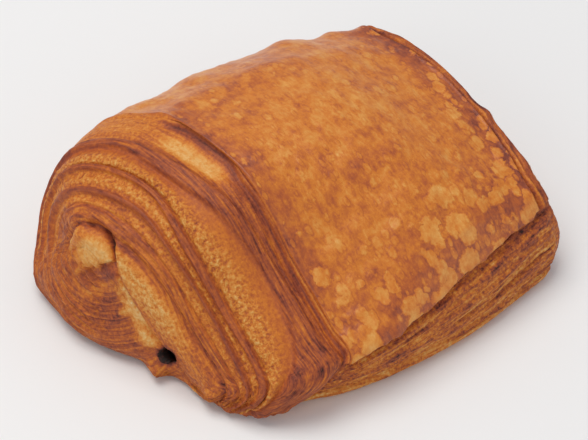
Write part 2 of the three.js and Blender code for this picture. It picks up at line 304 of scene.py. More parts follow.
def end_points(end, t, inward):
    """An end: each place on the sheet's edge closes on its place on the crease along a
    quarter ellipse, with the swell added as the sine of twice the angle."""
    edge_x = around(end["edge"], t)
    y, z = outline_at(t, edge_x)
    share = crease_share(t)[..., None]
    crease = end["front"] * (1 - share) + end["eye"] * share
    angle = inward * math.pi / 2
    x = edge_x + (crease[..., 0] - edge_x) * np.sin(angle)
    x = x + end["side"] * around(end["swell"], t) * np.sin(2 * angle)
    y = crease[..., 1] + (y - crease[..., 1]) * np.cos(angle)
    z = crease[..., 2] + (z - crease[..., 2]) * np.cos(angle)
    return np.stack([x, y, np.maximum(z, 0)], -1)


def layer_share(layers, place, t):
    """How far in, from the sheet's edge to the crease, a place among the layers lies."""
    starts = np.stack([around(row, t[0]) for row in layers])
    first = np.clip(np.floor(place).astype(int), 0, len(layers) - 2)
    column = np.arange(t.shape[1])[None, :]
    f = place - first
    return starts[first, column] * (1 - f) + starts[first + 1, column] * f


def row_places(counts):
    """Places among the layers, evenly spaced inside each layer, from 0 to the last start."""
    runs = [np.arange(count) / count + index for index, count in enumerate(counts)]
    return np.append(np.concatenate(runs), float(len(counts)))


def normals_of(points):
    """Unit normals that point out: along the rows crossed with round the columns."""
    along = np.gradient(points, axis=0)
    across = np.roll(points, -1, 1) - np.roll(points, 1, 1)
    normal = np.cross(along, across)
    return normal / np.maximum(np.linalg.norm(normal, axis=-1, keepdims=True), 1e-9)


def lines_round(t, depth, spacing, length, seed):
    """Fine lines that run round the roll: noise stretched to length round it and squeezed to
    spacing across, wrapped on a circle so that it meets itself."""
    radius = ROUND_LENGTH / (2 * math.pi) / length
    angle = t / POINTS * 2 * math.pi
    places = np.stack([np.cos(angle) * radius, np.sin(angle) * radius, depth / spacing], -1)
    return noise(places + 50, seed)


# ---- the pastry ----


def pastry_grid():
    """The whole roll as one grid: its base points, the places that details are drawn by, and
    the rows of each part. Rows run from the left crease over the left end, the top sheet and
    the right end; the sheet's rows follow a sine, so they are closer together at its edges."""
    t_columns = np.concatenate([np.linspace(a, b, n, endpoint=False) for a, b, n in COLUMN_RUNS])
    half_wave = math.pi / 2 * SHEET_ROWS_CROWD
    sheet_rows = np.sin(np.linspace(-1, 1, SHEET_ROWS) * half_wave) / math.sin(half_wave)

    def grid(rows):
        t = np.broadcast_to(t_columns[None, :], (len(rows), len(t_columns)))
        return t, rows[:, None] + 0 * t_columns

    t_left, place_left = grid(row_places(LEFT_ROWS)[::-1][:-1])
    t_sheet, along = grid(sheet_rows)
    t_right, place_right = grid(row_places(RIGHT_ROWS)[1:])
    left = end_points(LEFT_END, t_left, layer_share(LEFT_LAYERS, place_left, t_left))
    sheet = sheet_points(t_sheet, along)
    right = end_points(RIGHT_END, t_right, layer_share(RIGHT_LAYERS, place_right, t_right))
    points = np.concatenate([left, sheet, right])
    first, last = len(left), len(left) + len(sheet) - 1
    row = np.arange(len(points))[:, None] + np.zeros(len(t_columns), int)
    return SimpleNamespace(
        points=points,
        t=np.concatenate([t_left, t_sheet, t_right]),
        left_place=np.concatenate([place_left, 0 * t_sheet, 0 * t_right]),
        right_place=np.concatenate([0 * t_left, 0 * t_sheet, place_right]),
        on_left=row < first,
        on_sheet=(row >= first) & (row <= last),
        on_right=row > last,
        depth=depth_from_edge(points, first, last),
    )


def depth_from_edge(points, first, last):
    """Length along each column, in mm, from the row of the sheet's left edge outwards to the
    left, and from the row of its right edge outwards to the right; 0 between them."""
    steps = np.linalg.norm(np.diff(points, axis=0), axis=-1)
    depth = np.zeros(points.shape[:2])
    depth[:first] = np.cumsum(steps[:first][::-1], axis=0)[::-1]
    depth[last + 1:] = np.cumsum(steps[last:], axis=0)
    return depth


def layers_of_ends(roll):
    """Height, browning, crumb and line strength of the cut layers, read off the profiles."""
    fields = []
    for column in (1, 2, 3, 4):
        left = np.interp(roll.left_place, LEFT_PROFILE[:, 0], LEFT_PROFILE[:, column])
        right = np.interp(roll.right_place, RIGHT_PROFILE[:, 0], RIGHT_PROFILE[:, column])
        fields.append(np.where(roll.on_left, left, np.where(roll.on_right, right, 0)))
    return fields


class Skin:
    """The fields that shape and colour the crust at every grid point: height over the base
    surface, browning from 0 to 1, which in places also holds painted shade, crumb, and strength of
    the lamination's fine lines."""

    def __init__(self, height, brown, crumb, lines):
        self.height, self.brown, self.crumb, self.lines = height, brown, crumb, lines

    def lay(self, share, height=None, brown=None, crumb=None, lines=None):
        """Replaces each field given by its new value, where share is 1, and mixes below 1."""
        for name, value in (("height", height), ("brown", brown), ("crumb", crumb), ("lines", lines)):
            if value is not None:
                setattr(self, name, getattr(self, name) * (1 - share) + value * share)

    def lift(self, height):
        """Raises the surface, or sinks it where height is negative."""
        self.height = self.height + height

    def darken(self, brown):
        """Darkens the crust: more browning, or painted shade where it stands for shade; lightens it where
        brown is negative.
        """
        self.brown = self.brown + brown


def shape_under_sheet(skin, roll):
    """The left end's layers next to the sheet: pale dough that the sheet's edge kept from
    browning near the crown, layers that the edge has baked onto behind it, and a pale layer
    that browns towards the foot. Returns how far the sheet's edge hangs over."""
    t, place = roll.t, roll.left_place
    at_crown = roll.on_left * window(5.2, 5.7, 6.4, 6.9, t)
    pale = at_crown * window(1.1, 1.35, 1.65, 2.0, place)
    skin.lay(pale * 0.9, brown=0.27, crumb=0.3, lines=0.1)
    skin.lift(-0.9 * pale)
    baked_on = roll.on_left * window(6.6, 7.1, 9.4, 10.4, t) * (1 - smooth(1.6, 2.5, place))
    skin.lay(baked_on * 0.85, height=-0.3, brown=0.49, crumb=0.45, lines=0.5)
    foot = roll.on_left * smooth(9.0, 9.2, place) * (1 - smooth(3.7, 4.8, t)) * smooth(-1, 1, t)
    skin.lay(foot * 0.85, brown=0.62, crumb=0.3, lines=0.8)
    return roll.on_left * window(0.1, 0.6, 0.9, 1.5, place) * (0.6 + 1.6 * at_crown) * (1 - baked_on)


def lobe_share(roll):
    """1 on the lobe under the eye, where the layers wind round the eye, 0 elsewhere."""
    return window(9.4, 11.0, 13.0, 13.7, roll.t) * smooth(1.5, 4.0, roll.left_place)


def shape_lobe(skin, roll):
    """The lobe's layers are arcs round the eye, which waver, rise and die out: a sine of the
    distance from the eye, shifted by noise and scaled by noise. Its middle is browner."""
    points = roll.points
    radius = np.linalg.norm(points - EYE_CENTRE, axis=-1)
    drift = 2.2 * noise(points / 9 + 15, 51) + 0.9 * noise(points / 3.5 + 15, 53)
    wave = np.sin(2 * math.pi * (radius + drift) / LOBE_ARC_SPACING)
    strength = np.clip(0.5 + 0.8 * noise(points / 5 + 33, 52), 0, 1)
    middle = ball(points, LOBE_MIDDLE, LOBE_SIZE)
    skin.lay(lobe_share(roll), height=0.45 * wave * strength + 0.2 * drift,
             brown=0.63 + 0.06 * wave * strength + 0.08 * middle, crumb=0.3, lines=0.8)


def shape_lamination(skin, roll):
    """Bands that vary in strength round the roll, then the fine lines of butter and dough
    leaves along the layers, and short cracks that open along the browner ones, darkened inside
    with painted shade. Returns the depth that the lines are wound by: from the sheet's edge, or
    from the eye on the lobe."""
    on_end = (roll.on_left | roll.on_right) * smooth(0.0, 1.0, roll.depth)
    round_roll = roll.t / POINTS * ROUND_LENGTH
    bands = flat_noise(round_roll / 26, roll.depth / 4, 5, 14, 2)
    skin.darken(on_end * 0.035 * bands)
    shape_lobe(skin, roll)

    lobe = lobe_share(roll)
    from_eye = EYE_DEPTH - np.linalg.norm(roll.points - EYE_CENTRE, axis=-1)
    wound = roll.depth * (1 - lobe) + from_eye * lobe
    broad = lines_round(roll.t, wound, 1.6, 30, 11)
    fine = lines_round(roll.t, wound, 0.8, 10, 12)
    skin.lift(on_end * skin.lines * (0.20 * broad + 0.20 * fine))
    skin.darken(on_end * skin.lines * (0.045 * broad + 0.03 * fine))

    deepest = np.clip(flat_noise(round_roll / 6, wound / 0.75, 35, 15) - 0.5, 0, 1)
    cracks = deepest * 2 * on_end * skin.lines * smooth(0.55, 0.68, skin.brown)
    cracks = cracks * (1 - 0.8 * lobe)
    skin.lift(-0.45 * cracks)
    # darker in the cracks: painted shade
    skin.darken(0.15 * cracks)
    return wound


def shape_fold(skin, roll):
    """The fold from the front baton's mouth to the eye: a crack that opens into the slit over
    the eye, a rolled upper side with a reddish band, and below it pale dough drawn out into
    fibres. Returns how far each point lies from it, how far along, and where it is at the eye."""
    off, share = from_line(roll.points[..., 1], roll.points[..., 2], FOLD)
    below = off < 0
    past_start = smooth(0.50, 0.60, share)
    at_eye = past_start * (1 - smooth(0.93, 1.0, share))
    before_eye = 1 - past_start
    over_top = smooth(0.70, 0.85, share)
    along = smooth(0.03, 0.12, share) * (1 - smooth(0.94, 1.0, share))

    crack = bell(off, 0, 0.40 + 0.25 * at_eye)
    rolled = bell(off, 1.5, 1.2)
    skin.lift(along * rolled * (0.4 + 0.3 * at_eye))
    skin.lift(-along * crack * (0.7 + 0.9 * at_eye * (1 - over_top)))
    skin.lift(-along * below * np.exp(-np.abs(off) / 2.6) * (1.3 - 0.7 * over_top) * at_eye)
    spread = 0.6 + 2.6 * np.clip(0.5 - share, 0, 0.5)
    reddish = bell(off, spread, spread) * (off > 0) * along * before_eye
    skin.lay(0.85 * reddish, brown=0.64, crumb=0.4)

    length = share * FOLD_LENGTH
    strands = flat_noise(length / 0.8, off / 5, 60, 42, 2)
    slow = flat_noise(length / 4, 0, 60, 43)
    reach = (2.9 + 1.5 * strands + 0.8 * slow) * smooth(0.08, 0.2, share) * (0.4 + 0.6 * before_eye)
    strip = below * along * before_eye * (1 - smooth(reach - 1.2, reach + 2.2, -off))
    skin.lay(strip, brown=0.20 - 0.09 * strands + 0.05 * (-off), crumb=0.5, lines=0.1)
    fibres = below * along * bell(off, 0, 6) * strands
    skin.lift(strip * 0.5)
    skin.lift(0.22 * fibres)
    darker = below * along * before_eye * window(reach + 0.6, reach + 2.4, 7.0, 10.0, -off)
    skin.darken(darker * (0.04 + 0.09 * strands))
    return off, share, at_eye


def shape_eye(skin, roll, off_fold, fold_share, at_eye):
    """The swirl's eye: the pale end of the inmost roll, a shallow dome that browns outwards and is
    darker to the top with painted shade under the fold, and the slit between it and the fold,
    painted near black as its shadow."""
    y, z = roll.points[..., 1], roll.points[..., 2]
    left_of_eye, over_eye = y - EYE_CENTRE[1], z - EYE_CENTRE[2]
    above_lip, lip_share = from_line(y, z, LIP)
    below_fold = off_fold < 0
    from_eye = np.hypot(left_of_eye, over_eye) / EYE_RADIUS
    wobble = flat_noise(y / 4, z / 4, 20, 41, 2)

    lip_blend = 0.12 + 0.9 * smooth(0.3, 0.9, lip_share)
    disc = below_fold * smooth(-lip_blend, lip_blend, above_lip)
    disc = disc * (1 - smooth(0.58, 1.24, from_eye + 0.12 * wobble))
    to_left = smooth(0.5, 6.5, left_of_eye * 0.9 - 0.4 * over_eye)
    # darker to the top: painted shade under the overhanging fold
    to_top = smooth(-0.5, 5.2, 0.85 * over_eye - 0.1 * left_of_eye)
    outwards = smooth(-0.2, 0.7, 0.7 * (left_of_eye + over_eye) / EYE_RADIUS) * smooth(0.35, 0.95, from_eye)
    disc_brown_and_shade = 0.26 + 0.16 * to_left + 0.20 * to_top + 0.26 * outwards + 0.07 * wobble
    skin.lay(disc, brown=np.minimum(disc_brown_and_shade, 0.60), crumb=0.25, lines=0.1)
    skin.lift(disc * (0.35 * np.clip(1 - from_eye ** 2, 0, 1) + 0.15 * wobble))

    shape_lip(skin, y, z, above_lip, lip_share, below_fold, wobble)
    shaded = np.clip(1 + off_fold / 1.6, 0, 1) * at_eye * below_fold
    skin.darken(0.14 * shaded * (1 - 0.3 * smooth(0.6, 0.75, fold_share)))
    # the slit painted near black: painted shadow in the gap between the disc and the fold
    slit = bell(off_fold, -0.25, 0.45) * at_eye * (1 - 0.8 * smooth(0.66, 0.8, fold_share))
    skin.lay(slit, brown=0.97, crumb=0, lines=0)


def shape_lip(skin, y, z, above_lip, lip_share, below_fold, wobble):
    """Under the eye: a thin pale lip over a hollow with a dark band, browner crust and painted
    shade under the lip, and a golden one, and the end of the roll's tail as a dark nub tucked in
    beside the fold."""
    near_lip = 1 - smooth(0.70, 1.0, lip_share)
    under = below_fold * (above_lip < 0) * near_lip
    skin.lift(-under * np.exp(above_lip / 2.4) * 1.2)
    # the dark band: browner crust, and painted shade cast by the lip
    band = under * window(0.2, 0.7, 3.4, 5.0, -above_lip)
    skin.lay(band * 0.85, brown=0.78 - 0.14 * lip_share + 0.05 * wobble, crumb=0.3, lines=0.5)
    golden = under * window(4.2, 5.2, 6.2, 8.0, -above_lip)
    skin.lay(golden * 0.7, brown=0.46, crumb=0.4, lines=0.5)
    tail = bell(y, TUCKED_TAIL[0], 2.0) * bell(z, TUCKED_TAIL[1], 1.9) * below_fold
    skin.lift(1.2 * tail)
    skin.lay(np.clip(tail * 1.2, 0, 1), brown=0.84, crumb=0, lines=0.2)
    lip = bell(above_lip, 0.5, 0.45) * near_lip * below_fold * smooth(0.04, 0.2, lip_share)
    skin.lift(0.35 * lip)
    skin.lay(0.75 * lip, brown=0.36, crumb=0.2, lines=0)


def shape_swirl(skin, roll):
    """The fold and the eye, on the left end's inmost layers only."""
    inmost = roll.on_left * smooth(6.5, 8.0, roll.left_place)
    swirl = Skin(skin.height, skin.brown, skin.crumb, skin.lines)
    off_fold, fold_share, at_eye = shape_fold(swirl, roll)
    shape_eye(swirl, roll, off_fold, fold_share, at_eye)
    skin.lay(inmost, swirl.height, swirl.brown, swirl.crumb, swirl.lines)


def brown_mouth(skin, roll):
    """The rim of the front baton's mouth is well browned: a soft oval a little wider than it."""
    turn = baton_turn()
    off_y, off_z = roll.points[..., 1] - FRONT_BATON[1], roll.points[..., 2] - FRONT_BATON[2]
    across = (off_y * math.cos(turn) + off_z * math.sin(turn)) / MOUTH_HALF_WIDTH
    up = (off_z * math.cos(turn) - off_y * math.sin(turn)) / MOUTH_HALF_HEIGHT
    rim = roll.on_left * (1 - smooth(1.1, 1.6, np.hypot(across, up)))
    skin.lay(rim * 0.9, brown=0.80, crumb=0.2, lines=0.2)


def shape_face(skin, roll):
    """The cut face along the front: ledges of lamination that run along the roll under the
    sheet's overhanging edge, cracked between them, down to a paler lip at the foot. The cracks and
    the band under the edge are sunk and darker, the darkening being painted shade. Returns where
    it is."""
    x, t = roll.points[..., 0], roll.t
    past_right = np.where(roll.on_right, 1 - smooth(1.0, 8.0, roll.depth), 1)
    ends = np.where(roll.on_left, 1 - smooth(0.0, 3.0, roll.depth), past_right)
    ragged = 0.05 * flat_noise(x / 4, 0, 10, 23, 3)
    down = t * FACE_LENGTH
    face = window(-0.1, 0.2, 1.84, 1.90, t + ragged) * ends
    warp = 1.6 * flat_noise(x / 26, down / 9, 44, 24)
    ledges = flat_noise(x / 34, (down + warp) / 1.9, 30, 21, 2)
    threads = flat_noise(x / 6, (down + warp) / 0.8, 30, 22, 2)
    cracks = np.clip(flat_noise(x / 18, (down + warp) / 1.2, 70, 25) - 0.5, 0, 1) * 2.2
    lip = bell(t, 0.28, 0.15)
    under_edge = window(1.60, 1.80, 1.86, 1.93, t + ragged)
    height = -0.9 + 0.55 * ledges + 0.25 * threads - 0.9 * cracks + 0.9 * lip - 0.9 * under_edge
    # darker in the cracks and under the sheet's edge: painted shade
    brown = 0.575 + 0.11 * ledges + 0.11 * threads + 0.20 * cracks - 0.09 * lip + 0.14 * under_edge
    skin.lay(face, height=height, brown=brown, crumb=0.7, lines=1.0)
    return face


def shape_sheet(skin, roll, face):
    """The top sheet: slow swells, blisters a few millimetres wide near the front, dimples and
    wrinkles drawn down the slope, and browner towards its side edges and the front. Returns
    where it is, and how blistered."""
    points, t, x = roll.points, roll.t, roll.points[..., 0]
    sheet = roll.on_sheet * (1 - face)
    blotch = noise(points / 14 + 40, 33, 3)
    from_left = x - around(LEFT_END["edge"], t)
    from_right = around(RIGHT_END["edge"], t) - x
    near_front = 1 - smooth(2.2, 4.6, t + 0.010 * (20 - x) + 0.4 * blotch)
    near_right = 1 - smooth(3, 20, from_right + 5 * blotch)
    patchy = near_front + 0.5 * near_right * (1 - smooth(6, 8, t)) + 0.12 * smooth(5, 40, x)
    patchy = np.clip(patchy, 0, 1)

    swell = 0.50 * noise(points / 22 + 70, 31, 2) + 0.25 * noise(points / 7 + 70, 32, 2)
    wrinkles = 0.16 * noise(points / np.array([2.2, 5.0, 5.0]) + 25, 35, 2)
    pits = -0.35 * np.clip(noise(points / 2.6 + 55, 36) - 0.45, 0, 1)
    blisters = 0.45 * patchy * np.clip(noise(points / 4.2 + 15, 37, 2) + 0.1, 0, 1)
    shoulder = noise(points / 9 + 40, 34) * window(5.8, 7.4, 8.4, 9.6, t) * 0.7
    rim = bell(np.minimum(from_left, from_right), 0, 0.8) * window(2.0, 2.6, 8.5, 9.5, t)
    left_band = (1 - smooth(0.5, 9, from_left + 4.5 * blotch)) * window(2.6, 4.2, 6.6, 8.0, t)
    right_band = window(-6, 0.5, 3.5, 9.5, from_right + 3.0 * blotch) * window(2.4, 3.4, 8.0, 9.0, t)
    brown = 0.50 + 0.06 * blotch + 0.15 * left_band + 0.17 * right_band + 0.11 * near_front + 0.06 * rim
    brown = brown + 0.09 * window(8.2, 9.6, 13.0, 13.8, t)
    skin.lay(sheet, height=swell + wrinkles + pits + blisters + shoulder + 0.25 * rim, brown=brown,
             crumb=0, lines=0)
    return sheet, patchy * sheet


def pushes(points):
    """What stands out from the roll as a whole, as a vector at each point: a ball for each entry
    in the list, and flakes of noise at the left front corner, fading at the floor."""
    out = np.zeros(points.shape)
    for middle, radius, push in STANDING_OUT:
        out = out + ball(points, middle, radius)[..., None] * np.array(push, float)
    corner = (1 - smooth(4, 9, points[..., 2])) * (1 - smooth(-33, -25, points[..., 0]))
    corner = corner * (1 - smooth(-22, -16, points[..., 1])) * smooth(0, 1.5, points[..., 2])
    flakes = noise(points / np.array([2.6, 2.6, 5.0]) + 12, 61, 2)
    return out + (corner * (0.5 + 1.1 * flakes))[..., None] * np.array([-0.5, -0.85, 0.0])


def pastry_skin(roll):
    """Draws every detail of the crust in turn. Returns its fields, how far the edge of the top
    sheet hangs over, the masks that the material reads, and the maps that fine lines follow,
    each as u, v and the length after which u comes round again."""
    skin = Skin(*layers_of_ends(roll))
    skin.height = skin.height * LAYER_DEPTH
    overhang = shape_under_sheet(skin, roll)
    wound = shape_lamination(skin, roll)
    shape_swirl(skin, roll)
    brown_mouth(skin, roll)
    face = shape_face(skin, roll)
    sheet, patchy = shape_sheet(skin, roll, face)
    # raised crumbs are paler: pale torn dough, and partly a painted highlight on their tops
    grains = noise(roll.points / 1.15 + 90, 13, 2)
    skin.lift(0.26 * skin.crumb * grains)
    skin.brown = np.clip(skin.brown - 0.05 * skin.crumb * grains, 0.02, 1)
    skin.height = skin.height * smooth(0, 3.5, roll.points[..., 2])
    masks = {"cut": 1 - sheet, "patchy": patchy, "face": face}
    maps = {
        "rings": (roll.t / POINTS * ROUND_LENGTH, wound, ROUND_LENGTH),
        "face_lines": (roll.points[..., 0] + 100, roll.t * FACE_LENGTH, math.inf),
    }
    return skin, overhang, masks, maps


def crease_sides(t_columns):
    """The columns above a crease and those below it, each from its front end to the eye, with
    how far along the crease each lies; a small steady step keeps the two ends in order."""
    start = int(np.argmin(np.abs(t_columns - FRONT_END_T)))
    stop = int(np.argmin(np.abs(t_columns - EYE_END_T)))
    count = len(t_columns)
    upper = np.arange(start, stop + 1)
    lower = (start - np.arange(count - stop + start + 1)) % count
    sides = []
    for columns in (upper, lower):
        steady = np.linspace(0, 0.03, len(columns))
        sides.append((columns, crease_share(t_columns[columns]) + steady))
    return sides


def facing(values, sides):
    """For each column of a crease row, the value straight across the crease from it."""
    (upper, upper_at), (lower, lower_at) = sides
    across = values.copy()
    for axis in range(values.shape[1]):
        across[upper, axis] = np.interp(upper_at, lower_at, values[lower, axis])
        across[lower, axis] = np.interp(lower_at, upper_at, values[upper, axis])
    return across


def closing_strip(row, sides):
    """Triangles between the two sides of a crease row: each edge of either side joins the last
    vertex that the other side has reached by then."""
    (upper, upper_at), (lower, lower_at) = sides
    reached = np.searchsorted(lower_at[1:], upper_at[1:], "left")
    over = np.stack([upper[:-1], upper[1:], lower[reached]], -1)
    reached = np.searchsorted(upper_at[1:], lower_at[1:], "right")
    under = np.stack([lower[1:], lower[:-1], upper[reached]], -1)
    strip = np.concatenate([over, under])
    real = (strip[:, 0] != strip[:, 1]) & (strip[:, 1] != strip[:, 2]) & (strip[:, 2] != strip[:, 0])
    return row[strip[real]]


def closed_mesh(name, points, attributes, uv_maps, sides):
    """Mesh of a grid that wraps round its columns, with each end row closed across its crease.
    A face that spans the place where a map's u comes round again carries on past it."""
    rows, columns = points.shape[:2]
    index = np.arange(rows * columns).reshape(rows, columns)
    following = np.roll(index, -1, 1)
    quads = np.stack([index[:-1], index[1:], following[1:], following[:-1]], -1).reshape(-1, 4)
    strips = [closing_strip(index[0], sides), closing_strip(index[-1], sides)[:, ::-1]]
    faces = quads.tolist() + strips[0].tolist() + strips[1].tolist()
    mesh = bpy.data.meshes.new(name)
    mesh.from_pydata((points.reshape(-1, 3) * MM).tolist(), [], faces)
    mesh.validate()
    for key, values in attributes.items():
        layer = mesh.attributes.new(key, "FLOAT", "POINT")
        layer.data.foreach_set("value", values.reshape(-1).astype(np.float32))
    corner_vertex = np.zeros(len(mesh.loops), np.int32)
    mesh.loops.foreach_get("vertex_index", corner_vertex)
    quad_corners = len(quads) * 4
    for key, (u, v, period) in uv_maps.items():
        layer = mesh.uv_layers.new(name=key)
        u, v = u.reshape(-1)[corner_vertex], v.reshape(-1)[corner_vertex]
        quad_u = u[:quad_corners].reshape(-1, 4)
        wraps = quad_u.max(1, keepdims=True) - quad_u > period / 2
        u[:quad_corners] = np.where(wraps, quad_u + period, quad_u).reshape(-1)
        layer.data.foreach_set("uv", (np.stack([u, v], -1) * MM).reshape(-1).astype(np.float32))
    return finished(name, mesh)


def new_object(name, data):
    """Object of a mesh, a lamp or a camera, in the scene."""
    thing = bpy.data.objects.new(name, data)
    bpy.context.scene.collection.objects.link(thing)
    return thing


def finished(name, mesh):
    """Smooth-shaded object of a mesh, in the scene."""
    mesh.polygons.foreach_set("use_smooth", np.ones(len(mesh.polygons), bool))
    return new_object(name, mesh)


def tube(name, x, y, z, half_width, half_height, turn, power):
    """Closed tube along X through the given x places, all at the same y and z: a superellipse
    of the half width and half height, turned about X, with ends closed by fans."""
    angle = np.arange(TUBE_SIDES) / TUBE_SIDES * 2 * math.pi
    c, s = np.cos(angle), np.sin(angle)
    reach = ((np.abs(c) / half_width) ** power + (np.abs(s) / half_height) ** power) ** (-1 / power)
    across, up = reach * c, reach * s
    ring_y = across * math.cos(turn) - up * math.sin(turn) + y
    ring_z = across * math.sin(turn) + up * math.cos(turn) + z
    rings = len(x)
    ring_x = np.repeat(np.array(x, float)[:, None], TUBE_SIDES, 1)
    ring_points = np.stack([ring_x, ring_y + 0 * ring_x, ring_z + 0 * ring_x], -1)
    index = np.arange(rings * TUBE_SIDES).reshape(rings, TUBE_SIDES)
    following = np.roll(index, -1, 1)
    quads = np.stack([index[:-1], following[:-1], following[1:], index[1:]], -1).reshape(-1, 4).tolist()
    first, last = rings * TUBE_SIDES, rings * TUBE_SIDES + 1
    fans = [[first, b, a] for a, b in zip(index[0], following[0])]
    fans += [[last, a, b] for a, b in zip(index[-1], following[-1])]
    end_middles = [(x[0], y, z), (x[-1], y, z)]
    points = np.concatenate([ring_points.reshape(-1, 3), end_middles]) - FOOTPRINT_MIDDLE
    mesh = bpy.data.meshes.new(name)
    mesh.from_pydata((points * MM).tolist(), [], quads + [[int(v) for v in fan] for fan in fans])
    return finished(name, mesh)


def cut_away(body, cutters):
    """Takes the cutters out of the body, one after another, and removes them."""
    for cutter in cutters:
        cut = body.modifiers.new("cut", "BOOLEAN")
        cut.operation, cut.object, cut.solver = "DIFFERENCE", cutter, "MANIFOLD"
        bpy.context.view_layer.update()
        evaluated = body.evaluated_get(bpy.context.evaluated_depsgraph_get())
        mesh = bpy.data.meshes.new_from_object(evaluated)
        body.modifiers.clear()
        mesh.materials.clear()  # the modifier leaves an empty slot
        uncut, body.data = body.data, mesh
        bpy.data.meshes.remove(uncut)
        bpy.data.objects.remove(cutter)
    body.data.name = body.name


def whereabouts(mesh):
    """One whole number for each vertex's place, to the nearest micrometre."""
    places = np.zeros(len(mesh.vertices) * 3, np.float32)
    mesh.vertices.foreach_get("co", places)
    steps = np.round(places.reshape(-1, 3).astype(float) * 1e6).astype(np.int64)
    return steps @ np.array([1, 1 << 20, 1 << 40])


def darken_cut_walls(body, kept):
    """Makes every vertex that the cutters left, and that wasn't there before, a near-black wall: chocolate
    stain, and painted shade inside the pockets and the slit beside the eye.
    """
    new = ~np.isin(whereabouts(body.data), kept)
    for name, wall in (("brown", 1), ("cut", 1), ("patchy", 0), ("crumb", 0), ("lines", 0)):
        values = np.zeros(len(new), np.float32)
        layer = body.data.attributes[name]
        layer.data.foreach_get("value", values)
        layer.data.foreach_set("value", np.where(new, np.float32(wall), values))


def baton_turn():
    """Angle of the batons' wide sides about X: at right angles to the left crease."""
    run = LEFT_END["eye"] - LEFT_END["front"]
    return math.atan2(run[2], run[1]) + math.pi / 2


def pocket_cutters():
    """The batons' pockets, each a gap wider than its baton: the front one opens through an
    uneven oval mouth in the crust, and the back one only through the slit beside the eye."""
    turn = baton_turn()
    wide, high = BATON_WIDTH / 2 + POCKET_GAP, BATON_THICKNESS / 2 + POCKET_GAP
    cutters = []
    for name, (x, y, z) in (("front_pocket", FRONT_BATON), ("back_pocket", BACK_BATON)):
        ends = (x - POCKET_GAP, x + BATON_LENGTH + POCKET_GAP)
        cutters.append(tube(name, ends, y, z, wide, high, turn, 4))
    angle = np.arange(TUBE_SIDES) / TUBE_SIDES * 2 * math.pi
    uneven = 1 + 0.06 * np.sin(2 * angle + 0.7) + 0.05 * np.sin(5 * angle + 2.0)
    x, y, z = FRONT_BATON
    cutters.append(tube("front_mouth", (x - CUT_REACH, x - 1.2, x), y, z,
                        MOUTH_HALF_WIDTH * uneven, MOUTH_HALF_HEIGHT * uneven, turn, 2.2))
    cutters.append(tube("eye_slit", (BACK_BATON[0] - CUT_REACH, BACK_BATON[0] + 1),
                        EYE_SLIT["y"], EYE_SLIT["z"], EYE_SLIT["width"] / 2, EYE_SLIT["height"] / 2,
                        EYE_SLIT["tilt"], 3))
    return cutters


def grow_together(moved, points, attributes, sides):
    """Near each crease, from row to row by a growing share, moves the two sides of the crease
    alike: each column's shift and attributes are mixed with those straight across from it."""
    for step in range(CREASE_ROWS):
        share = 0.5 * (1 - step / CREASE_ROWS)
        for row in (step, len(points) - 1 - step):
            shift = moved[row] - points[row]
            moved[row] = points[row] + shift * (1 - share) + facing(shift, sides) * share
            for values in attributes.values():
                across = facing(values[row][:, None], sides)[:, 0]
                values[row] = values[row] * (1 - share) + across * share


def pastry():
    """The baked roll: the base surface moved out along its normals by the crust's height, back
    along the roll where an edge hangs over, and out where a nub or blister stands."""
    roll = pastry_grid()
    points = roll.points
    skin, overhang, masks, maps = pastry_skin(roll)
    along = np.gradient(points, axis=0)
    along = along / np.maximum(np.linalg.norm(along, axis=-1, keepdims=True), 1e-9)
    moved = points + normals_of(points) * skin.height[..., None] + along * overhang[..., None]
    moved = moved + pushes(points)
    attributes = dict(brown=skin.brown, crumb=skin.crumb, lines=skin.lines, **masks)
    sides = crease_sides(roll.t[0])
    grow_together(moved, points, attributes, sides)
    moved[..., 2] = np.maximum(moved[..., 2], 0)
    crust = closed_mesh("pastry_crust", moved - FOOTPRINT_MIDDLE, attributes, maps, sides)
    kept = whereabouts(crust.data)
    cut_away(crust, pocket_cutters())
    darken_cut_walls(crust, kept)
    return crust


# ---- materials ----


def linear(hex_colour):
    """An sRGB hex colour as linear RGBA."""
    channels = [int(hex_colour[i:i + 2], 16) / 255 for i in (1, 3, 5)]
    return [c / 12.92 if c <= 0.04045 else ((c + 0.055) / 1.055) ** 2.4 for c in channels] + [1.0]


def feed(tree, node, inputs):
    """Sets or links a node's inputs by name or number; a node given stands for its first output."""
    for key, value in inputs.items():
        if isinstance(value, bpy.types.Node):
            value = value.outputs[0]
        if isinstance(value, bpy.types.NodeSocket):
            tree.links.new(value, node.inputs[key])
        else:
            node.inputs[key].default_value = value


def add(tree, kind, inputs=None, stops=None, **settings):
    """Adds a node, sets its properties and its ramp's stops, and feeds its inputs."""
    made = tree.nodes.new(kind)
    for key, value in settings.items():
        setattr(made, key, value)
    feed(tree, made, inputs or {})
    elements = made.color_ramp.elements if stops else []
    while stops and len(elements) < len(stops):
        elements.new(0.5)
    for element, (place, colour) in zip(elements, stops or []):
        element.position = place
        element.color = linear(colour)
    return made


def blank_material(name):
    """A new material, its node tree, and the shader in it."""
    material = bpy.data.materials.new(name)
    material.use_nodes = True
    tree = material.node_tree
    return material, tree, tree.nodes["Principled BSDF"]


def per(size_mm):
    """Pattern scale that repeats about once every size_mm on metre coordinates."""
    return 1 / (size_mm * MM)


# Browning of an egg-washed dough, from the pale dough of a sheltered fold to a scorched edge. The near-black
# end also paints the shade in the eye's slit and on the cut walls.
BROWNING = [
    (0.00, "#F0D6A2"), (0.18, "#E3B46F"), (0.34, "#DC9848"), (0.50, "#CF7826"),
    (0.64, "#B25B28"), (0.78, "#8C422B"), (0.90, "#632C1F"), (1.00, "#200C06"),
]
MATH = "ShaderNodeMath"

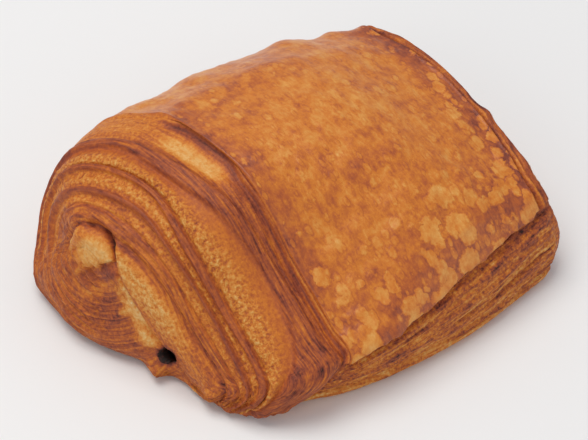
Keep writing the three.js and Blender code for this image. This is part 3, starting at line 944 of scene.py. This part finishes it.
# Sizes of the crust's patterns (mm). A leaf of butter and dough is about 0.5 mm thick, drawn a
# little thicker to show; crumbs are torn ends of leaves, about 1 mm across and finer.
LEAF_THICKNESS, LEAF_LENGTH = 0.7, 9
CRUMB_SIZE = 0.95
RAGGED_SIZE = 2.6
CLOUD_SIZE = 4.5
WRINKLE_WIDTH, WRINKLE_LENGTH = 1.1, 3.2
# Blisters, from big to small: size, how far they are drawn down the slope, how far their edges
# wander, how many more there are where the sheet is patchy and fewest of all, and how pale.
BLISTERS = [
    (7.0, 1.0, 5.0, 0.75, -0.70, 0.85),
    (3.4, 1.4, 2.6, 0.45, -0.46, 0.75),
    (1.6, 2.0, 1.1, 0.15, -0.36, 0.5),
]
WIDEST_BLISTER = 0.60  # of its cell


def crust_material():
    """Egg-washed, baked laminated dough: a thin satin glaze over a smooth blistered sheet, and
    drier, crumbly cut layers with fine lines on the ends and the front."""
    material, tree, shader = blank_material("egg_washed_laminated_dough")
    place = add(tree, "ShaderNodeTexCoord").outputs["Object"]
    brown, cut, patchy, crumb, lines, face = [
        add(tree, "ShaderNodeAttribute", attribute_name=name).outputs["Fac"]
        for name in ("brown", "cut", "patchy", "crumb", "lines", "face")]

    # Lamination: lines along the layers of the ends, and along the face.
    leaves = []
    for uv_map in ("rings", "face_lines"):
        layers_map = add(tree, "ShaderNodeUVMap", uv_map=uv_map)
        stretched = add(tree, "ShaderNodeMapping", {
            "Vector": layers_map, "Scale": (per(LEAF_LENGTH), per(LEAF_THICKNESS), 1)})
        leaves.append(add(tree, "ShaderNodeTexNoise", {
            "Vector": stretched, "Scale": 1.0, "Detail": 3.0, "Roughness": 0.6},
            noise_dimensions="2D"))
    leaf = add(tree, "ShaderNodeMix", {"Factor": face, 2: leaves[0], 3: leaves[1]})
    grain = add(tree, "ShaderNodeTexNoise", {
        "Vector": place, "Scale": per(CRUMB_SIZE), "Detail": 4.0, "Roughness": 0.65})

    # Sheet: pale blisters with ragged edges in a darker seam, each grown from a cell of a
    # Voronoi pattern to a size of its own, and small specks drawn down the slope.
    shift = add(tree, "ShaderNodeTexNoise", {
        "Vector": place, "Scale": per(RAGGED_SIZE), "Detail": 4.0, "Roughness": 0.62}).outputs["Color"]
    shift = add(tree, "ShaderNodeVectorMath", {0: shift, 1: (0.5, 0.5, 0.5)}, operation="SUBTRACT")
    pale = seam = 0.0
    for size, drawn, wander, density, fewest, strength in BLISTERS:
        moved = add(tree, "ShaderNodeVectorMath", {0: shift, 1: (wander * MM,) * 3, 2: place},
                    operation="MULTIPLY_ADD")
        moved = add(tree, "ShaderNodeMapping", {"Vector": moved, "Scale": (1, 1 / drawn, 1 / drawn)})
        cells = add(tree, "ShaderNodeTexVoronoi", {"Vector": moved, "Scale": per(size)})
        distance = cells.outputs["Distance"]
        chance = add(tree, MATH, {0: patchy, 1: density, 2: fewest}, operation="MULTIPLY_ADD")
        reach = add(tree, MATH, {0: cells.outputs["Color"], 1: chance}, operation="ADD")
        reach = add(tree, MATH, {0: reach, 1: WIDEST_BLISTER}, operation="MINIMUM")
        inner = add(tree, MATH, {0: reach, 1: 0.13}, operation="SUBTRACT")
        outer = add(tree, MATH, {0: reach, 1: 0.14}, operation="ADD")
        patch = add(tree, "ShaderNodeMapRange", {0: distance, 1: reach, 2: inner, 4: strength})
        around_it = add(tree, "ShaderNodeMapRange", {0: distance, 1: outer, 2: reach})
        pale = add(tree, MATH, {0: pale, 1: patch}, operation="MAXIMUM")
        seam = add(tree, MATH, {0: seam, 1: around_it}, operation="MAXIMUM")
    cloud = add(tree, "ShaderNodeTexNoise", {
        "Vector": place, "Scale": per(CLOUD_SIZE), "Detail": 7.0, "Roughness": 0.74})
    slope = add(tree, "ShaderNodeMapping", {
        "Vector": place, "Scale": (per(WRINKLE_WIDTH), per(WRINKLE_LENGTH), per(WRINKLE_LENGTH))})
    wrinkle = add(tree, "ShaderNodeTexNoise", {
        "Vector": slope, "Scale": 1.0, "Detail": 4.0, "Roughness": 0.6, "Distortion": 0.6})

    # Each pattern where it belongs: crumb is strong where layers are torn, faint on all cuts.
    leaf, grain, cloud, wrinkle = [add(tree, MATH, {0: noise_field, 1: 0.5}, operation="SUBTRACT")
                                   for noise_field in (leaf, grain, cloud, wrinkle)]
    cloud = add(tree, MATH, {0: wrinkle, 1: 0.45, 2: cloud}, operation="MULTIPLY_ADD")
    uncut = add(tree, MATH, {0: 1.0, 1: cut}, operation="SUBTRACT")
    leaf, rough_crumb, all_grain, pale, seam, clouded = [
        add(tree, MATH, {0: field, 1: where}, operation="MULTIPLY") for field, where in (
            (leaf, lines), (grain, crumb), (grain, cut), (pale, uncut), (seam, uncut), (cloud, uncut))]

    # What each pattern adds to the brown attribute, which holds browning and in places painted shade, and to
    # the relief. Raised crumbs turn paler: pale torn dough, and partly a painted highlight on their tops.
    total, relief = brown, 0.0
    for field, browner, higher in ((leaf, 0.65, 0.55), (rough_crumb, -0.95, 1.1), (all_grain, -0.38, 0.25),
                                   (clouded, 0.75, 0.40), (seam, 0.06, 0.0), (pale, 0.0, 0.22)):
        total = add(tree, MATH, {0: field, 1: browner, 2: total}, operation="MULTIPLY_ADD")
        relief = add(tree, MATH, {0: field, 1: higher, 2: relief}, operation="MULTIPLY_ADD")
    blistered = add(tree, MATH, {0: clouded, 1: 0.80, 2: 0.385}, operation="MULTIPLY_ADD")
    total = add(tree, "ShaderNodeMix", {"Factor": pale, 2: total, 3: blistered})
    colour = add(tree, "ShaderNodeValToRGB", {"Fac": total}, stops=BROWNING)
    roughness = add(tree, MATH, {0: cut, 1: 0.12, 2: 0.38}, operation="MULTIPLY_ADD")
    glaze = add(tree, MATH, {0: uncut, 1: 0.25}, operation="MULTIPLY")
    bumped = add(tree, "ShaderNodeBump", {"Strength": 1.0, "Distance": 0.5 * MM, "Height": relief})
    feed(tree, shader, {
        "Base Color": colour, "Roughness": roughness, "IOR": 1.42, "Specular IOR Level": 0.4,
        "Coat Weight": glaze, "Coat Roughness": 0.28, "Normal": bumped})
    return material


def chocolate_material():
    """Dark baking chocolate that has melted and set again in the oven: nearly black, with a
    dull bloom and a fine pitted grain."""
    material, tree, shader = blank_material("baked_dark_chocolate")
    place = add(tree, "ShaderNodeTexCoord").outputs["Object"]
    pits = add(tree, "ShaderNodeTexNoise", {"Vector": place, "Scale": per(1.2), "Detail": 4.0})
    colour = add(tree, "ShaderNodeValToRGB", {"Fac": pits}, stops=[(0.3, "#120905"), (0.7, "#28160D")])
    bumped = add(tree, "ShaderNodeBump", {"Strength": 0.6, "Distance": 0.3 * MM, "Height": pits})
    feed(tree, shader, {"Base Color": colour, "Roughness": 0.42, "IOR": 1.46, "Normal": bumped})
    return material


# ---- studio ----


def camera():
    """A long lens, level with the horizon, looking down at the left front corner."""
    azimuth, elevation = math.radians(-39), math.radians(45)
    distance, width_seen = 620 * MM, 152.88 * MM
    target = Vector((-FOOTPRINT_MIDDLE[0] * MM, -FOOTPRINT_MIDDLE[1] * MM, 18 * MM))
    back = Vector((math.sin(azimuth) * math.cos(elevation), -math.cos(azimuth) * math.cos(elevation),
                   math.sin(elevation)))
    data = bpy.data.cameras.new("camera")
    data.sensor_width = 36
    data.lens = data.sensor_width * distance / width_seen
    data.clip_start, data.clip_end = 0.01, 20
    eye = new_object("camera", data)
    eye.rotation_euler = back.to_track_quat("Z", "Y").to_euler()
    eye.location = target + back * distance
    bpy.context.scene.camera = eye


def soft_light(name, place, size, energy, colour):
    """A square softbox aimed at the middle of the pastry."""
    data = bpy.data.lights.new(name, "AREA")
    data.shape = "SQUARE"
    data.size = size
    data.energy = energy
    data.color = linear(colour)[:3]
    lamp = new_object(name, data)
    lamp.location = place
    lamp.rotation_euler = (Vector(place) - Vector((0, 0, 0.02))).to_track_quat("Z", "Y").to_euler()


def studio():
    """Pale floor, a pale world for fill, a big softbox overhead, and faint ones to the left
    and the right front."""
    bpy.ops.mesh.primitive_plane_add(size=6, location=(0, 0, -0.0002))
    floor = bpy.context.object
    floor.name = "floor"
    paint, tree, shader = blank_material("matt_pale_board")
    feed(tree, shader, {"Base Color": linear("#EFEFF0"), "Roughness": 0.7})
    floor.data.materials.append(paint)
    world = bpy.data.worlds.new("studio")
    world.use_nodes = True
    background = world.node_tree.nodes["Background"]
    feed(world.node_tree, background, {"Color": linear("#F4F6FA"), "Strength": 0.49})
    bpy.context.scene.world = world
    bpy.context.scene.view_settings.view_transform = "Standard"
    soft_light("overhead_softbox", (-0.12, 0.22, 1.0), 0.7, 6.1, "#FFFCF6")
    soft_light("left_softbox", (-0.9, -0.35, 0.6), 0.6, 1.5, "#FFFDFA")
    soft_light("front_softbox", (0.5, -0.9, 0.35), 0.6, 0.8, "#FFFDFA")


# ---- putting it together ----

camera()
studio()
crust = pastry()
crust.data.materials.append(crust_material())
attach(crust, "root")
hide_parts("pastry")

chocolate = chocolate_material()
for name in ("chocolate_baton_front", "chocolate_baton_back"):
    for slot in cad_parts[name].material_slots:
        slot.material = chocolate
